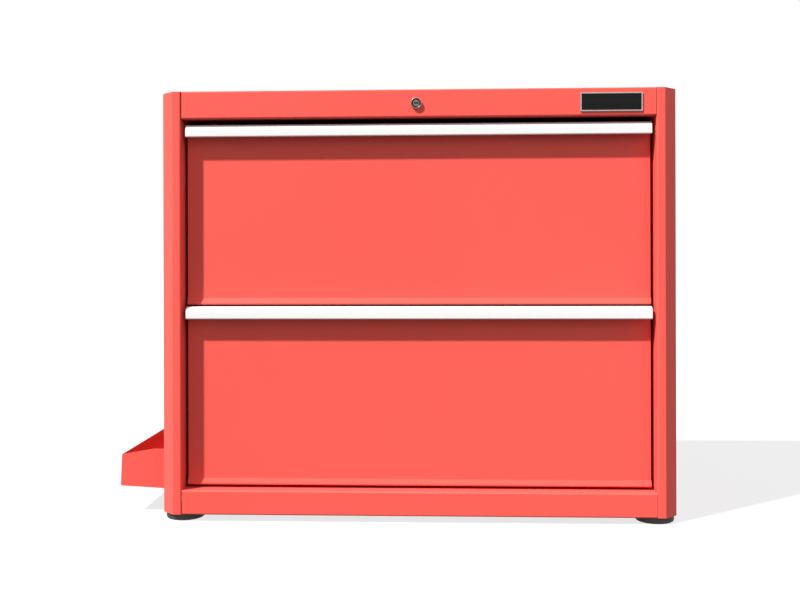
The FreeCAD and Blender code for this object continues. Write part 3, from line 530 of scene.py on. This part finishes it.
def drawerFront(word):
    low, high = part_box(word + "_drawer_front")
    faceY = low.y + front["lipForward"]
    lipTop = low.z + front["lipHeight"]
    piece = plate(((low.x + high.x) / 2, faceY, (lipTop + high.z) / 2), (math.pi / 2, 0, 0),
                  (high.x - low.x, high.z - lipTop))
    bpy.ops.object.mode_set(mode="EDIT")
    for level in (high.z - front["cornerCut"], lipTop + front["cornerCut"] / 2):
        bpy.ops.mesh.select_all(action="SELECT")
        bpy.ops.mesh.bisect(plane_co=(0, 0, level), plane_no=(0, 0, 1))
    pick(piece, "edges", lambda at, edge: near(at.z, high.z))
    extrude((0, front["topFlange"], 0))
    pick(piece, "edges", lambda at, edge: near(at.z, lipTop))
    extrude((0, -front["lipForward"], -front["lipHeight"]))
    extrude((0, front["bottomFlange"], 0))
    for x in (low.x, high.x):
        pick(piece, "edges", lambda at, edge: near(at.x, x) and near(at.y, faceY)
             and lipTop + front["cornerCut"] < at.z < high.z - front["cornerCut"] * 1.5)
        extrude((0, front["sideReturn"], 0))
    leaveEdit()
    lipTurn = math.atan2(front["lipForward"], front["lipHeight"])
    pick(piece, "edges", lambda at, edge: near(at.z, high.z) and near(at.y, faceY))
    roundOff(front["fold"], 8)
    pick(piece, "edges", lambda at, edge: near(at.z, low.z) and near(at.y, low.y))
    roundOff(front["fold"] * math.tan((math.pi / 2 + lipTurn) / 2), 8)
    pick(piece, "edges", lambda at, edge: near(at.z, lipTop) and near(at.y, faceY)
         and edge.verts[0].co.z - edge.verts[1].co.z == 0)
    roundOff(front["fold"] * math.tan(lipTurn / 2), 3)
    for x in (low.x, high.x):
        pick(piece, "edges", lambda at, edge: near(at.x, x) and near(at.y, faceY)
             and lipTop + front["cornerCut"] < at.z < high.z - front["cornerCut"] * 1.5)
        roundOff(front["sideFold"], 5)
    leaveEdit()
    faceOut(piece, (0, -1, 0))
    thicken(piece, front["wall"])
    breakEdges(piece, front["edge"])
    return finishPiece(piece, word + "DrawerFront", word + "_drawer", drawerPaint,
                       [word + "_drawer_front"])


for word in ("upper", "lower"):
    drawerFront(word)
print("drawer fronts folded")


pull = {"wall": 2 * mm, "plateHeight": 20 * mm, "round": 10 * mm, "corner": 2.3 * mm,
        "lip": 4 * mm, "edge": 0.35 * mm}


def handle(word):
    low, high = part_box(word + "_handle")
    profile = [
        (high.y, high.z - pull["plateHeight"]), (high.y, high.z), (low.y, high.z),
        (low.y, low.z), (low.y + pull["lip"], low.z),
    ]
    piece = foldStrip("handle", profile, "x", (low.x, high.x),
                      [pull["corner"], pull["round"], pull["corner"]], pull["wall"], (0, 1, 0))
    thicken(piece, pull["wall"])
    breakEdges(piece, pull["edge"])
    return finishPiece(piece, word + "Handle", word + "_drawer", handleAluminium,
                       [word + "_handle"])


for word in ("upper", "lower"):
    handle(word)
print("handles bent")


tray = {"wall": 1.2 * mm, "fold": 2.4 * mm, "rise": 5.2 * mm, "lean": 2.2 * mm, "level": 29 * mm,
        "outerTop": 108 * mm, "endTop": 118 * mm, "edge": 0.3 * mm,
        "longEdge": 100 * mm}


def sideTray():
    low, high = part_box("side_tray")
    leaveEdit()
    top = Vector((high.x, high.y, tray["endTop"]))
    bpy.ops.mesh.primitive_cube_add(size=1, scale=top - low, location=(low + top) / 2)
    piece = settle(bpy.context.object)
    pick(piece, "faces", lambda at, face: face.normal.z > 0.9)
    bpy.ops.mesh.delete(type="ONLY_FACE")
    bpy.ops.mesh.select_all(action="SELECT")
    bpy.ops.mesh.bisect(plane_co=(high.x - tray["level"], 0, 0), plane_no=(1, 0, 0))
    pick(piece, "verts", lambda at, vert: near(at.x, low.x) and near(at.z, low.z))
    bpy.ops.transform.translate(value=(0, 0, tray["rise"]))
    pick(piece, "verts", lambda at, vert: near(at.x, high.x - tray["level"]) and near(at.z, low.z))
    share = tray["level"] / (high.x - low.x)
    bpy.ops.transform.translate(value=(0, 0, tray["rise"] * share))
    pick(piece, "verts", lambda at, vert: near(at.x, low.x) and near(at.z, tray["endTop"]))
    bpy.ops.transform.translate(value=(tray["lean"], 0, tray["outerTop"] - tray["endTop"]))
    pick(piece, "edges", lambda at, edge: near(at.x, high.x) and near(at.z, tray["endTop"]))
    extrude((0, 0, high.z - tray["endTop"]))
    leaveEdit()
    foldsAt = ((high.x, low.z), (low.x, low.z + tray["rise"]))
    for x, z in foldsAt:
        pick(piece, "edges", lambda at, edge: near(at.x, x) and near(at.z, z)
             and edge.calc_length() > tray["longEdge"])
        roundOff(tray["fold"], 6)
    leaveEdit()
    thicken(piece, tray["wall"])
    breakEdges(piece, tray["edge"])
    return finishPiece(piece, "sideTray", "cabinet", trayPaint, ["side_tray"])


sideTray()
print("side tray formed")


foot = {"radius": 34 * mm, "height": 12.4 * mm, "round": 4 * mm, "seat": 13 * mm, "recess": 7.3 * mm,
        "recessDepth": 8 * mm, "groove": 1.2 * mm}


def footPads():
    low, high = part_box("foot_pads")
    leaveEdit()
    bpy.ops.mesh.primitive_cylinder_add(vertices=72, radius=foot["radius"], depth=foot["height"],
                                        location=(0, 0, foot["height"] / 2))
    pad = settle(bpy.context.object)
    pick(pad, "faces", lambda at, face: face.normal.z < -0.9)
    bpy.ops.mesh.inset(thickness=foot["radius"] - foot["recess"])
    extrude((0, 0, foot["recessDepth"]))
    pick(pad, "faces", lambda at, face: face.normal.z > 0.9 and near(at.z, foot["height"]))
    bpy.ops.mesh.inset(thickness=foot["radius"] - foot["seat"])
    extrude((0, 0, shell["wall"]))
    for z, width, segments in ((0, foot["round"], 8), (foot["height"], foot["groove"], 3)):
        pick(pad, "edges", lambda at, edge: near(at.z, z) and at.xy.length > foot["radius"] * 0.9)
        roundOff(width, segments)
    leaveEdit()
    pads = []
    for x in (low.x + foot["radius"], high.x - foot["radius"]):
        for y in (low.y + foot["radius"], high.y - foot["radius"]):
            pads.append(copyTo(pad, (x, y, 0)))
    bpy.data.objects.remove(pad)
    return finishPiece(joinInto("footPads", pads), "footPads", "cabinet", footRubber,
                       ["foot_pads"], 40)


footPads()
print("feet moulded")


lock = {"plugRadius": 5.9 * mm, "gap": 0.1 * mm, "rim": 0.7 * mm, "rimFlat": 0.98 * mm,
        "dish": 1.5 * mm, "barrel": 8 * mm, "keyWidth": 2.2 * mm, "keyLength": 8.4 * mm,
        "keyDepth": 9 * mm, "edge": 0.25 * mm}


def turned(name, radius, y0, y1, vertices=64):
    # a cylinder along y
    leaveEdit()
    bpy.ops.mesh.primitive_cylinder_add(vertices=vertices, radius=radius, depth=y1 - y0,
                                        rotation=(math.pi / 2, 0, 0), location=(0, (y0 + y1) / 2, 0))
    piece = settle(bpy.context.object)
    piece.name = name
    return piece


def lockHead():
    low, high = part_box("lock_housing")
    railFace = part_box("top_panel")[0].y
    radius = (high.z - low.z) / 2
    centre = Vector(((low.x + high.x) / 2, 0, (low.z + high.z) / 2))
    piece = turned("lockHead", radius, low.y, railFace)
    pick(piece, "faces", lambda at, face: face.normal.y < -0.9)
    bpy.ops.mesh.inset(thickness=lock["rimFlat"])
    slope = radius - lock["rimFlat"] - lock["plugRadius"] - lock["gap"]
    bpy.ops.mesh.inset(thickness=slope, depth=-lock["dish"])
    extrude((0, high.y - low.y - lock["dish"], 0))
    bpy.ops.mesh.delete(type="FACE")
    pick(piece, "faces", lambda at, face: face.normal.y > 0.9 and near(at.y, railFace, touch))
    bpy.ops.mesh.inset(thickness=radius - lock["barrel"])
    extrude((0, high.y - railFace, 0))
    bpy.ops.mesh.delete(type="FACE")
    pick(piece, "edges", lambda at, edge: near(at.y, low.y) and at.xz.length > radius * 0.95)
    roundOff(lock["rim"], 5)
    pick(piece, "verts", lambda at, vert: near(at.y, high.y, touch))
    bpy.ops.mesh.bridge_edge_loops()
    bpy.ops.mesh.select_all(action="SELECT")
    bpy.ops.mesh.normals_make_consistent(inside=False)
    bpy.ops.transform.translate(value=centre)
    leaveEdit()
    return finishPiece(piece, "lockHead", "cabinet", lockChrome, ["lock_housing"])


def lockPlug():
    low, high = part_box("lock_plug")
    piece = turned("lockPlug", lock["plugRadius"], low.y, high.y, 48)
    centre = Vector(((low.x + high.x) / 2, 0, (low.z + high.z) / 2))
    leaveEdit()
    bpy.ops.mesh.primitive_cube_add(size=1, location=(0, low.y, 0),
                                    scale=(lock["keyLength"], 2 * lock["keyDepth"], lock["keyWidth"]))
    key = settle(bpy.context.object)
    applyModifier(piece, "BOOLEAN", operation="DIFFERENCE", object=key, solver="EXACT")
    bpy.data.objects.remove(key)
    breakEdges(piece, lock["edge"], 50)
    workOn(piece)
    piece.location = centre
    settle(piece)
    return finishPiece(piece, "lockPlug", "lock_cylinder_plug", lockSilver, ["lock_plug"])


lockHead()
lockPlug()
print("lock turned")


badge = {"rim": 2.2 * mm, "crown": 0.5 * mm, "slope": 0.7 * mm, "sink": 0.25 * mm,
         "edge": 0.08 * mm}


def badgeFrame():
    low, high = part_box("badge_frame")
    leaveEdit()
    bpy.ops.mesh.primitive_cube_add(size=1, scale=high - low, location=(low + high) / 2)
    piece = settle(bpy.context.object)
    pick(piece, "faces", lambda at, face: face.normal.y < -0.9)
    bpy.ops.mesh.inset(thickness=badge["rim"])
    extrude((0, high.y - low.y, 0))
    bpy.ops.mesh.delete(type="FACE")
    pick(piece, "faces", lambda at, face: face.normal.y > 0.9)
    bpy.ops.mesh.inset(thickness=badge["rim"])
    bpy.ops.mesh.delete(type="FACE")
    bpy.ops.mesh.select_all(action="SELECT")
    bpy.ops.mesh.remove_doubles(threshold=0.00002)
    bpy.ops.mesh.normals_make_consistent(inside=False)
    leaveEdit()
    breakEdges(piece, badge["crown"], 60, 3)
    return finishPiece(piece, "badgeFrame", "cabinet", badgeChrome, ["badge_frame"])


def badgeField():
    low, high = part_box("badge_field")
    leaveEdit()
    bpy.ops.mesh.primitive_cube_add(size=1, scale=high - low, location=(low + high) / 2)
    piece = settle(bpy.context.object)
    pick(piece, "faces", lambda at, face: face.normal.y < -0.9)
    bpy.ops.mesh.inset(thickness=badge["slope"])
    bpy.ops.mesh.inset(thickness=badge["slope"], depth=-badge["sink"])
    leaveEdit()
    breakEdges(piece, badge["edge"], 20)
    return finishPiece(piece, "badgeField", "cabinet", badgeBlack, ["badge_field"])


badgeFrame()
badgeField()
print("badge plate set")


button = {"height": 3 * mm, "crown": 1.65 * mm, "socket": 2.3 * mm, "socketDepth": 1.6 * mm,
          "shank": 2.9 * mm, "count": 3}


def buttonScrews():
    low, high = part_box("side_tray_screws")
    radius = (high.z - low.z) / 2
    headHeight = button["height"]
    leaveEdit()
    bpy.ops.mesh.primitive_cylinder_add(vertices=40, radius=radius, depth=headHeight,
                                        rotation=(0, -math.pi / 2, 0), location=(-headHeight / 2, 0, 0))
    screw = settle(bpy.context.object)
    pick(screw, "edges", lambda at, edge: near(at.x, -headHeight) and edge.calc_length() < radius / 2)
    roundOff(button["crown"], 6)
    leaveEdit()
    bpy.ops.mesh.primitive_cylinder_add(vertices=6, radius=button["socket"],
                                        depth=2 * button["socketDepth"],
                                        rotation=(0, math.pi / 2, 0), location=(-headHeight, 0, 0))
    socket = settle(bpy.context.object)
    applyModifier(screw, "BOOLEAN", operation="DIFFERENCE", object=socket, solver="EXACT")
    bpy.data.objects.remove(socket)
    leaveEdit()
    shank = high.x - low.x - headHeight
    bpy.ops.mesh.primitive_cylinder_add(vertices=24, radius=button["shank"], depth=shank,
                                        rotation=(0, math.pi / 2, 0), location=(shank / 2, 0, 0))
    rod = settle(bpy.context.object)
    screw = joinInto("screw", [screw, rod])
    screws = []
    for i in range(button["count"]):
        y = low.y + radius + i / (button["count"] - 1) * (high.y - low.y - 2 * radius)
        screws.append(copyTo(screw, (low.x + headHeight, y, (low.z + high.z) / 2)))
    bpy.data.objects.remove(screw)
    return finishPiece(joinInto("trayScrews", screws), "trayScrews", "cabinet", fastenerZinc,
                       ["side_tray_screws"])


buttonScrews()
print("tray screws set")


cutEdge = 0.2 * mm      # how far the edges of the inner sheets are broken
sharpWords = ("rivet", "screw", "nut", "bolt", "cage", "bumper")    # too small for that


def cleanRest():
    # what lies inside or is small keeps the frame's form
    for part in frame["record"]["subparts"]:
        node = part["node"]
        if node in remade:
            continue
        small = any(word in node for word in sharpWords)
        cleanCopy(node, part["material_slot"], 0 if small else cutEdge)


cleanRest()
print("inner sheets and fittings cleaned")


light = {"travel": (1.3, 1.0, -1.95), "sun": 7.2, "softness": 2.5, "sky": 0.38, "fill": 40,
         "fillPlace": (2.6, -3.2, 2.8), "fillAim": (0, 0, 0.4), "fillSize": 3.0}
floorTone = {"size": 60, "low": (0.1, 0.1, 0.1, 1), "high": (0.11, 0.11, 0.11, 1), "shadow": 0.22,
             "paper": (0.8, 0.8, 0.8, 1)}
view = {"place": (0.0925, -2.0219, 0.4675), "turn": 2.435, "roll": 0.155, "lens": 45.86,
        "shift": -0.0522}


def looksAt(start):
    # 1 where the eye, a reflection or clear glass meets the surface, 0 for the light that it gives off
    camera, glossy, clear = [start.node("ShaderNodeLightPath", out=out) for out in (0, 3, 6)]
    return start.math("MINIMUM", camera + glossy + clear, 1.0)


def studioFloor():
    leaveEdit()
    bpy.ops.mesh.primitive_plane_add(size=floorTone["size"], location=(0, 0, 0))
    floor = bpy.context.object
    floor.name = "studioFloor"
    material, start, place = newMaterial("studioFloor")
    grain = place.noise(3.0, 2.0)
    tone = grain.mix(floorTone["low"], floorTone["high"])
    matte = start.node("ShaderNodeBsdfDiffuse", None, {"Color": tone})
    white = start.node("ShaderNodeEmission", None, {"Color": (1, 1, 1, 1), "Strength": 1.0})
    paper = start.node("ShaderNodeBsdfDiffuse", None, {"Color": floorTone["paper"]})
    seen = start.node("ShaderNodeMixShader", None, {0: floorTone["shadow"], 1: white, 2: paper})
    both = start.node("ShaderNodeMixShader", None, {0: looksAt(start), 1: matte, 2: seen})
    start.node("ShaderNodeOutputMaterial", None, {"Surface": both})
    floor.data.materials.append(material)


def studioWorld():
    world = bpy.data.worlds.new("studio")
    bpy.context.scene.world = world
    world.use_nodes = True
    world.node_tree.nodes.clear()
    start = Wire(world.node_tree)
    strength = light["sky"] + looksAt(start) * (1.0 - light["sky"])
    sky = start.node("ShaderNodeBackground", None, {"Color": (1, 1, 1, 1), "Strength": strength})
    start.node("ShaderNodeOutputWorld", None, {"Surface": sky})


def keyLight():
    bpy.ops.object.light_add(type="SUN", location=(-2, -2, 3))
    sun = bpy.context.object
    sun.rotation_euler = Vector(light["travel"]).to_track_quat("-Z", "Y").to_euler()
    sun.data.energy = light["sun"]
    sun.data.angle = math.radians(light["softness"])


def fillLight():
    place = Vector(light["fillPlace"])
    aim = Vector(light["fillAim"]) - place
    bpy.ops.object.light_add(type="AREA", location=place)
    panel = bpy.context.object
    panel.rotation_euler = aim.to_track_quat("-Z", "Y").to_euler()
    panel.data.size = light["fillSize"]
    panel.data.energy = light["fill"]


def photoCamera():
    rotation = (math.pi / 2, math.radians(view["roll"]), math.radians(view["turn"]))
    bpy.ops.object.camera_add(location=view["place"], rotation=rotation)
    camera = bpy.context.object
    camera.data.lens = view["lens"]
    camera.data.sensor_width = 36
    camera.data.sensor_fit = "HORIZONTAL"
    camera.data.shift_y = view["shift"]
    camera.data.clip_start = 0.01
    bpy.context.scene.camera = camera


studioFloor()
studioWorld()
keyLight()
fillLight()
photoCamera()
bpy.context.scene.view_settings.view_transform = "Standard"
print("studio and camera ready")
